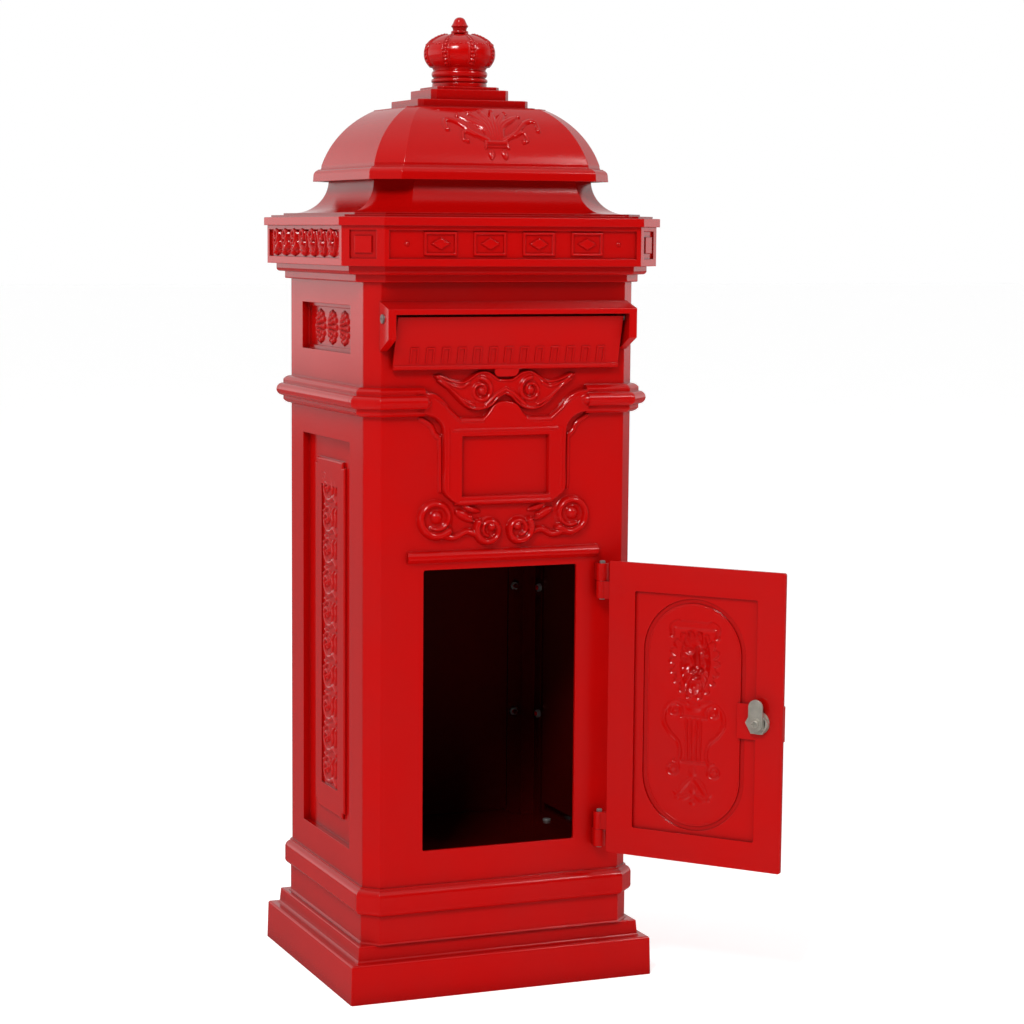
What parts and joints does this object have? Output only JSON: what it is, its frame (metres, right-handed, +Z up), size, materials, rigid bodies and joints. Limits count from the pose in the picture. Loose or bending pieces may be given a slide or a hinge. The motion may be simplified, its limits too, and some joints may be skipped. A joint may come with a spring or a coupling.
{
  "type": "pillar mailbox",
  "caption": "Free-standing cast pillar mailbox with stepped foot, domed roof and crown finial, a hinged letter flap and a locking side-hinged collection door.",
  "frame": {"origin": "floor level in the middle of the foot, the centre of the anchor hole pattern", "axes": "+Z up, -Y out of the front with the letter slot and the door, +X to the right seen from the front"},
  "size_m": [0.422, 0.4707, 1.025],
  "materials": {
    "red_paint": "gloss powder coat on cast aluminium",
    "zinc_steel": "zinc plated",
    "nickel": "nickel plated"
  },
  "bodies": {
    "pillar": {"base_casting": "red_paint", "anchor_lugs": "red_paint", "front_panel": "red_paint", "back_panel": "red_paint", "left_panel": "red_paint", "right_panel": "red_paint", "cornice": "red_paint", "neck": "red_paint", "dome": "red_paint", "finial_plinth": "red_paint", "crown": "red_paint", "crown_bud": "red_paint", "slot_hood": "red_paint", "hinge_brackets": "red_paint", "floor_plate": "red_paint", "letter_chute": "red_paint", "corner_angles": "red_paint", "floor_cleats": "red_paint", "tie_bridge": "red_paint", "panel_nuts": "zinc_steel", "chute_nuts": "zinc_steel", "base_bolts": "zinc_steel", "cornice_bolts": "zinc_steel", "neck_screws": "zinc_steel", "floor_screws": "zinc_steel", "hood_screws": "zinc_steel", "tie_rod": "zinc_steel", "tie_nut": "zinc_steel", "tie_washer": "zinc_steel", "hinge_pins": "zinc_steel", "flap_pivots": "zinc_steel"},
    "door": {"door_panel": "red_paint", "door_knuckles": "red_paint", "hinge_rivets": "red_paint", "lock_body": "nickel", "lock_nut": "nickel", "lock_washer": "nickel"},
    "lock_core": {"lock_plug": "nickel", "lock_cam": "nickel", "cam_washer": "nickel", "cam_screw": "nickel"},
    "flap": {"letter_flap": "red_paint"}
  },
  "joints": [
    {"name": "door_hinge", "type": "hinge", "parent": "pillar", "child": "door", "pos_m": [0.11, -0.1415, 0.29945], "axis": [0, 0, 1], "range_deg": [-129.5, 45]},
    {"name": "lock_turn", "type": "hinge", "parent": "door", "child": "lock_core", "pos_m": [0.22318, -0.28666, 0.29945], "axis": [-0.7716, -0.6361, 0], "range_deg": [-90, 0]},
    {"name": "flap_hinge", "type": "hinge", "parent": "pillar", "child": "flap", "pos_m": [0, -0.1438, 0.7105], "axis": [-1, 0, 0], "range_deg": [0, 65]}
  ]
}
